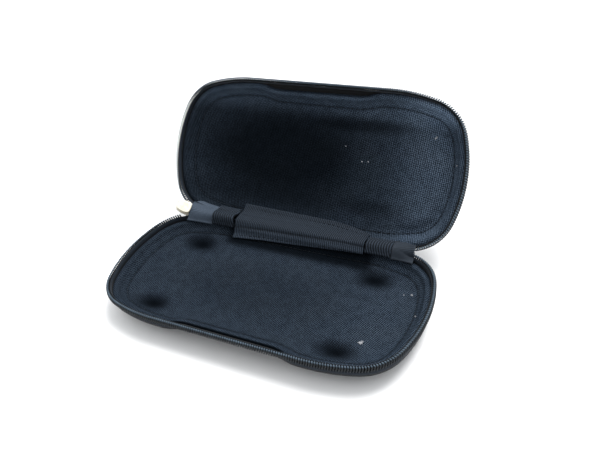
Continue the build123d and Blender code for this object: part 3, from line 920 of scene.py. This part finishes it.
columns = np.linspace(-SPINE_HALF, SPINE_HALF, 180)
spine, spine_length, _ = cloth_band("hinge_back_cloth", spine_route, columns, 0.5, COVER_CLOTH, spine_lift)
bend(spine, "hinge_outer_fabric", "cover_cloth")


# ---- ends of the zipper tapes, and the bindings round them ----
SIDE_POINTS = rim(np.linspace(0, PERIMETER / 4, 400))[0]


def follow(share, x):
    """Lift that keeps a cloth on the lips where the outline curves in."""
    drop = HALF_WIDTH - np.interp(np.abs(x), SIDE_POINTS[:, 0], SIDE_POINTS[:, 1])
    return drop * (0.45 + 0.5 * np.abs(2 * share - 1))


def tail_lift(share, x):
    """A bow and a ripple in the end of a tape."""
    return 0.3 * np.sin(math.pi * share) + 0.1 * np.sin(x / 2.1 + share * 4) + follow(share, x)


BINDING_PITCH = 1.5


def binding_ribs(share, x):
    return np.sin(TAU * (x + 1.6 * np.sin(math.pi * share)) / BINDING_PITCH)


def binding_lift(rise):
    """Ribs of a binding that bows up by rise."""
    def lift(share, x):
        return 0.18 * binding_ribs(share, x) + rise * np.sin(math.pi * share) + follow(share, x)

    return lift


def binding_rib_shade(share, x):
    # Painted shade between the ribs of a binding.
    return 0.85 * (1 + 0.85 * binding_ribs(share, x))


def taper(full, tip, low, high):
    """Edges that draw in from x = full to x = tip, by low at the base and high at the lid."""
    def ends(x):
        drawn = smoothstep((x - full) / (tip - full), 0, 1)
        return low * drawn, high * drawn

    return ends


def tail_route(low, high, rise):
    """Route over the hinge from the base's lip to the lid's, or down the lid's wall."""
    route = [at_base(LIP_INSET + 0.6, low), at_base(LIP_INSET - 0.3, low - 1.1), at_ridge(rise)]
    if high > SHOULDER:
        return route + [
            at_lid(LIP_INSET - 0.6, 2.9), at_lid(LIP_INSET + 0.3, 4.0), at_lid(*clear_wall(high, 0.6)),
        ]
    return route + [at_lid(LIP_INSET - 0.6, high - 0.5), at_lid(LIP_INSET + 0.6, high)]


# Into the slider and the last teeth: how far the tape ends run past their CAD solids.
LEFT_REACH, RIGHT_REACH = 4.8, 3.4
TAILS = (
    ("left_tape_tail", "left_tape_end", 0.8, TAPE, tail_lift, 1.0,
     tail_route(5.0, 5.9, 0.5), (-LEFT_REACH, 0.0), taper(-66.0, -71.5, 0.0, 2.4)),
    ("left_tail_binding", "left_ribbed_binding", 1.6, RIBBED, binding_lift(0.5), binding_rib_shade,
     tail_route(4.2, 7.4, 1.1), (0.0, 0.0), None),
    ("right_tail_binding", "right_ribbed_binding", 1.6, RIBBED, binding_lift(0.2), binding_rib_shade,
     tail_route(4.2, 3.3, 0.2), (0.0, 0.0), None),
    # The right tape end carries the painted tape shade.
    ("right_tape_tail", "right_tape_end", 0.8, TAPE, tail_lift, TAPE_SHADE,
     tail_route(5.0, 3.3, 0.1), (0.0, RIGHT_REACH), taper(60.0, 70.9, 0.0, 4.4)),
)
for node, name, thickness, material, lift, tone, route, more, ends in TAILS:
    start, end = (corner.x / MM + past for corner, past in zip(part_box(node), more))
    columns = np.linspace(start, end, round((end - start) / 0.2))
    band, mean_length, length = cloth_band(name, route, columns, thickness, material, lift, tone, ends)
    bend(band, node, "zipper_tape" if material is TAPE else "grosgrain")


def on_ribbon_edge(depths):
    """Places along one long edge of the ribbon, at depths given where EDGE_X is."""
    def place(start, at):
        inset, down = clear_wall(float(np.interp(at, EDGE_X, depths)), 0.92)
        # The stitches along the ribbon's edges get painted shade.
        return (at, HALF_WIDTH - inset, down), (0, -0.06, -0.14), 0.7

    return place


starts = np.arange(RIBBON_X[0] + 1.2, RIBBON_X[1] - 3.0, 3.0)
RIBBON_SEAMS = {"base": (7.9, 6.6, 6.0, 5.3, 5.0, 4.7), "lid": (8.7, 8.4, 8.1, 7.8, 6.8, 5.2)}
for kind, depths in RIBBON_SEAMS.items():
    place = on_ribbon_edge(depths)
    make_stitches(kind, "_ribbon_stitches", "_ribbon_thread", starts, 2.1, place, 0.18)


# ---- slider and pull ----
def cad_points(node):
    """Points of a CAD node, and the middle of their box."""
    points = np.array([v.co for v in frame["nodes"][node].data.vertices], float) / MM
    return points, (points.min(0) + points.max(0)) / 2


def square_to(direction, *others):
    """Unit vector of a direction, with its share of the others taken out."""
    for other in others:
        direction = direction - other * (direction @ other)
    return direction / np.linalg.norm(direction)


PIVOT = np.array(joints["pull_swing"]["pos_m"]) / MM
ACROSS = np.array(joints["pull_swing"]["axis"], float)
body_points, body_middle = cad_points("slider_body")
bonnet_points, bonnet_middle = cad_points("slider_bonnet")
longest = np.linalg.svd(body_points - body_points.mean(0), full_matrices=False)[2][0]
ALONG = square_to(longest, ACROSS)
OUTWARD = square_to(bonnet_middle - body_middle, ACROSS, ALONG)


def at_slider(along, across, outward):
    """Point along the slider, across it and outwards from the pull's pivot."""
    return PIVOT + ALONG * along + ACROSS * across + OUTWARD * outward


def slider_extents(points):
    """Middle and half of the length, half of the width, and lowest and highest outwards."""
    along, across, outward = ((points - PIVOT) @ way for way in (ALONG, ACROSS, OUTWARD))
    low, high = along.min(), along.max()
    return (low + high) / 2, (high - low) / 2, (across.max() - across.min()) / 2, outward.min(), outward.max()


MIDDLE_ALONG, HALF_LONG, HALF_WIDE, OUT_LOW, OUT_HIGH = slider_extents(body_points)
BRIDGE_AT, BRIDGE_HALF, BRIDGE_WIDE, BRIDGE_LOW, BRIDGE_HIGH = slider_extents(bonnet_points)
PLATE = 1.2


def superellipse(half_u, half_v, power, count):
    """Rounded rectangle; a low power makes it squarer."""
    turns = np.linspace(0, TAU, count, endpoint=False)
    c, s = np.cos(turns), np.sin(turns)
    u = np.sign(c) * np.abs(c) ** power * half_u
    v = np.sign(s) * np.abs(s) ** power * half_v
    return np.stack([u, v], -1)


def narrowing(u):
    """Share of the slider's width left at a place along it."""
    return 1 - 0.22 * smoothstep(u, -HALF_LONG * 0.2, HALF_LONG)


def outward_solid(name, outline, shift, levels):
    """Solid from an outline in the slider's plane, moved along it and scaled at each (height, size)."""
    rings = [[at_slider(u * size + shift, v * size, height) for u, v in outline] for height, size in levels]
    return mesh_object(name, rings, capped(len(levels), len(outline)), ENAMEL)


def make_plate(name, low):
    """One plate of the slider, with rounded edges."""
    outline = superellipse(HALF_LONG, HALF_WIDE, 0.55, 48)
    outline[:, 1] *= narrowing(outline[:, 0])
    rounding = [(0.0, 0.86), (0.04, 0.92), (0.12, 0.975), (0.3, 1.0)]
    levels = [(low + rise, scale) for rise, scale in rounding]
    levels += [(low + PLATE - rise, scale) for rise, scale in rounding[::-1]]
    return outward_solid(name, outline, MIDDLE_ALONG, levels)


def make_flange(side):
    """Lip under one side of the outer plate."""
    low, high, half = OUT_HIGH - PLATE - 0.15, OUT_HIGH - PLATE * 0.6, 0.36
    corner = high - 0.15
    section = [(-half, low), (half, low), (half, corner), (0.2, high), (-0.2, high), (-half, corner)]
    us = np.linspace(-HALF_LONG * 0.62, HALF_LONG * 0.8, 20)
    walls = HALF_WIDE * narrowing(us) - 0.42
    rings = [[at_slider(MIDDLE_ALONG + u, side * w + d, h) for d, h in section] for u, w in zip(us, walls)]
    return mesh_object("slider_flange", rings, capped(len(us), len(section)), ENAMEL)


def make_slider_body():
    """Two plates, the divider between them and the lips, as one piece."""
    low, high = OUT_LOW + PLATE, OUT_HIGH - PLATE
    levels = [(low - PLATE * 0.5, 1.15), (low + 0.3, 1.0), (high - 0.3, 1.0), (high + PLATE * 0.5, 1.15)]
    divider_at = MIDDLE_ALONG - HALF_LONG + 2.6
    parts = [
        make_plate("slider_inner", OUT_LOW),
        make_plate("slider_outer", high),
        outward_solid("slider_divider", superellipse(1.3, 0.8, 0.55, 24), divider_at, levels),
        make_flange(-1),
        make_flange(1),
    ]
    bpy.ops.object.select_all(action="DESELECT")
    for part in parts:
        part.select_set(True)
    bpy.context.view_layer.objects.active = parts[0]
    bpy.ops.object.join()
    parts[0].name = parts[0].data.name = "slider_shaped_body"
    settle(parts[0], "slider", "slider_body")


def make_bonnet():
    """Bridge that runs up from the outer plate, over the pull and down again."""
    foot, wall = np.array([BRIDGE_AT, BRIDGE_LOW]), 0.7
    size = np.array([BRIDGE_HALF, BRIDGE_HIGH - BRIDGE_LOW])
    # (side, share of the wall's thickness) round its section, with bevelled corners
    section = [(-1, 0.18), (-0.8, 0), (0.8, 0), (1, 0.18), (1, 0.82), (0.8, 1), (-0.8, 1), (-1, 0.82)]
    rings = []
    for turn in np.linspace(0, math.pi, 40):
        c, s = math.cos(turn), math.sin(turn)
        way = np.array([-math.copysign(abs(c) ** 0.45, c), s**0.45])
        for side, share in section:
            along, out = foot + way * (size - wall * share)
            rings.append(at_slider(along, side * BRIDGE_WIDE, out))
    piece = mesh_object("slider_shaped_bonnet", rings, capped(40, len(section)), ENAMEL)
    settle(piece, "slider", "slider_bonnet")


def make_pull():
    """Flat tab round two openings: the eye that holds the bridge, and a grip slot."""
    points, middle = cad_points("pull_tab")
    down, rel = square_to(middle - PIVOT, ACROSS), points - PIVOT
    low, high = (rel @ down).min(), (rel @ down).max()
    half, half_thick = np.abs(rel @ ACROSS).max(), np.abs(rel @ np.cross(ACROSS, down)).max()
    outer = superellipse((high - low) / 2, half, 0.42, 64) + ((high + low) / 2, 0)
    eye_end = BRIDGE_HALF + 1.1
    eye = superellipse((eye_end - half_thick) / 2, BRIDGE_WIDE + 0.3, 0.3, 48)
    eye += ((eye_end - half_thick) / 2 + half_thick, 0)
    grip = superellipse(2.3, 1.15, 0.6, 40) + (high - 4.1, 0)
    bm = bmesh.new()
    edges = []
    for loop in (outer, eye, grip):
        verts = [bm.verts.new((PIVOT + down * u + ACROSS * v) * MM) for u, v in loop]
        edges += [bm.edges.new((verts[k - 1], verts[k])) for k in range(len(verts))]
    bmesh.ops.triangle_fill(bm, use_beauty=True, edges=edges)
    mesh = bpy.data.meshes.new("pull_shaped_tab")
    bm.to_mesh(mesh)
    bm.free()
    mesh.materials.append(ENAMEL)
    piece = place_object("pull_shaped_tab", mesh)
    thick = piece.modifiers.new("thick", "SOLIDIFY")
    thick.thickness, thick.offset = 2 * half_thick * 0.96 * MM, 0
    soften = piece.modifiers.new("soften", "BEVEL")
    soften.width, soften.segments, soften.limit_method = 0.28 * MM, 3, "ANGLE"
    bpy.context.view_layer.update()
    apply_modifiers(piece)
    settle(piece, "pull", "pull_tab")


def apply_modifiers(piece):
    """The evaluated mesh takes the place of the piece's own."""
    evaluated = piece.evaluated_get(bpy.context.evaluated_depsgraph_get())
    made = bpy.data.meshes.new_from_object(evaluated)
    piece.modifiers.clear()
    piece.data = made
    for face in made.polygons:
        face.use_smooth = True
    made.set_sharp_from_angle(angle=math.radians(50))


make_slider_body()
make_bonnet()
make_pull()

# ---- lint caught on the linings: tray, x, y, size and strands of each bit ----
LINT_SPOTS = (
    ("base", 62.1, -16.7, 1.5, 9), ("base", 71.1, 18.7, 0.55, 3), ("base", 75.4, 18.6, 0.9, 4),
    ("base", 82.7, 3.2, 0.6, 3), ("lid", 69.7, -20.0, 0.95, 6), ("lid", 29.5, -3.0, 0.6, 3),
    ("lid", 33.0, -3.4, 0.6, 3), ("lid", 18.1, -10.8, 0.7, 2), ("lid", 83.3, -7.1, 0.5, 2),
)
LINING_PLACES = {kind: lining_points(kind)[0].reshape(-1, 3) for kind in TRAYS}


def lining_height(kind, x, y):
    """Least depth of the lining near (x, y)."""
    places = LINING_PLACES[kind]
    near = np.hypot(places[:, 0] - x, places[:, 1] - y)
    return places[near < max(1.6, near.min() + 0.4), 2].min()


for number, (kind, x, y, size, count) in enumerate(LINT_SPOTS):
    points, faces, first = [], [], 0
    t = np.linspace(-1, 1, 9)[:, None]
    radius = (0.09 + 0.05 * size) * np.sqrt(np.clip(1 - t[:, 0] ** 2, 0.05, 1))
    for _ in range(count):
        turn, length = rng.uniform(0, math.pi), size * rng.uniform(0.6, 1.2)
        at = np.array([x, y]) + rng.normal(0, size * 0.28, 2)
        way, cross = np.array([math.cos(turn), math.sin(turn)]), np.array([-math.sin(turn), math.cos(turn)])
        xy = at + way * t * length / 2 + cross * rng.uniform(-0.5, 0.5) * length * (t**2 - 0.5)
        depth = lining_height(kind, x, y) - 0.1 - 0.18 * rng.random() * (1 - t**2)
        rings = tube(TRAYS[kind](np.concatenate([xy, depth], 1)), radius, 6)[0]
        points.append(rings.reshape(-1, 3))
        faces += capped(9, 6, first)
        first += len(points[-1])
    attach(mesh_object(f"lint_{number}", np.concatenate(points), faces, LINT), kind)

# ---- studio ----
floor_mesh = bpy.data.meshes.new("floor")
floor_mesh.from_pydata([(-6, -6, 0), (6, -6, 0), (6, 6, 0), (-6, 6, 0)], [], [(0, 1, 2, 3)])
paper = Shader("paper")
tooth = paper.noise(paper.place(), 60.0, 3.0)
white = paper.ramp(tooth, (0.3, (0.93, 0.93, 0.93)), (0.7, (0.95, 0.95, 0.95)))
floor_mesh.materials.append(paper.finish(white, 0.9))
place_object("floor", floor_mesh)

# Soft light from all round, strongest from above and behind.
world = bpy.data.worlds.new("studio")
world.use_nodes = True
bpy.context.scene.world = world
sky = world.node_tree
facing = add_node(sky, "ShaderNodeTexCoord").outputs["Generated"]
lean = add_node(sky, "ShaderNodeVectorMath", {0: facing, 1: (0.10, 0.50, 0.86)}, operation="DOT_PRODUCT")
levels = {
    "Value": lean.outputs["Value"], "From Min": -0.45, "From Max": 0.95, "To Min": 0.25, "To Max": 1.45,
}
glow = add_node(sky, "ShaderNodeMapRange", levels, interpolation_type="SMOOTHSTEP")
background = sky.nodes["Background"]
sky.links.new(glow.outputs["Result"], background.inputs["Strength"])
background.inputs["Color"].default_value = (0.97, 0.985, 1.0, 1)

overhead = bpy.data.lights.new("overhead", "AREA")
overhead.shape, overhead.size, overhead.energy = "DISK", 0.7, 18.0
lamp = place_object("overhead", overhead)
lamp.location = (0.3, 0.45, 1.15)
lamp.rotation_mode = "QUATERNION"
lamp.rotation_quaternion = (Vector((0, 0.03, 0)) - lamp.location).to_track_quat("-Z", "Y")

# Camera fitted to the photo.
CAMERA_AT = (0.1707, -0.2055, 0.2371 + TIP_HEIGHT * MM)
LOOKING = (-0.4424, 0.6509, -0.6170)
ROLL = math.radians(-12.416)
camera_data = bpy.data.cameras.new("camera")
camera_data.sensor_width, camera_data.lens, camera_data.clip_start = 36.0, 40.65, 0.01
camera = place_object("camera", camera_data)
ahead = Vector(LOOKING).normalized()
level = ahead.cross(Vector((0, 0, 1))).normalized()
right = level * math.cos(ROLL) + level.cross(ahead) * math.sin(ROLL)
place = Matrix((right, right.cross(ahead), -ahead)).transposed().to_4x4()
place.translation = CAMERA_AT
camera.matrix_world = place
bpy.context.scene.camera = camera
bpy.context.scene.view_settings.view_transform = "Standard"
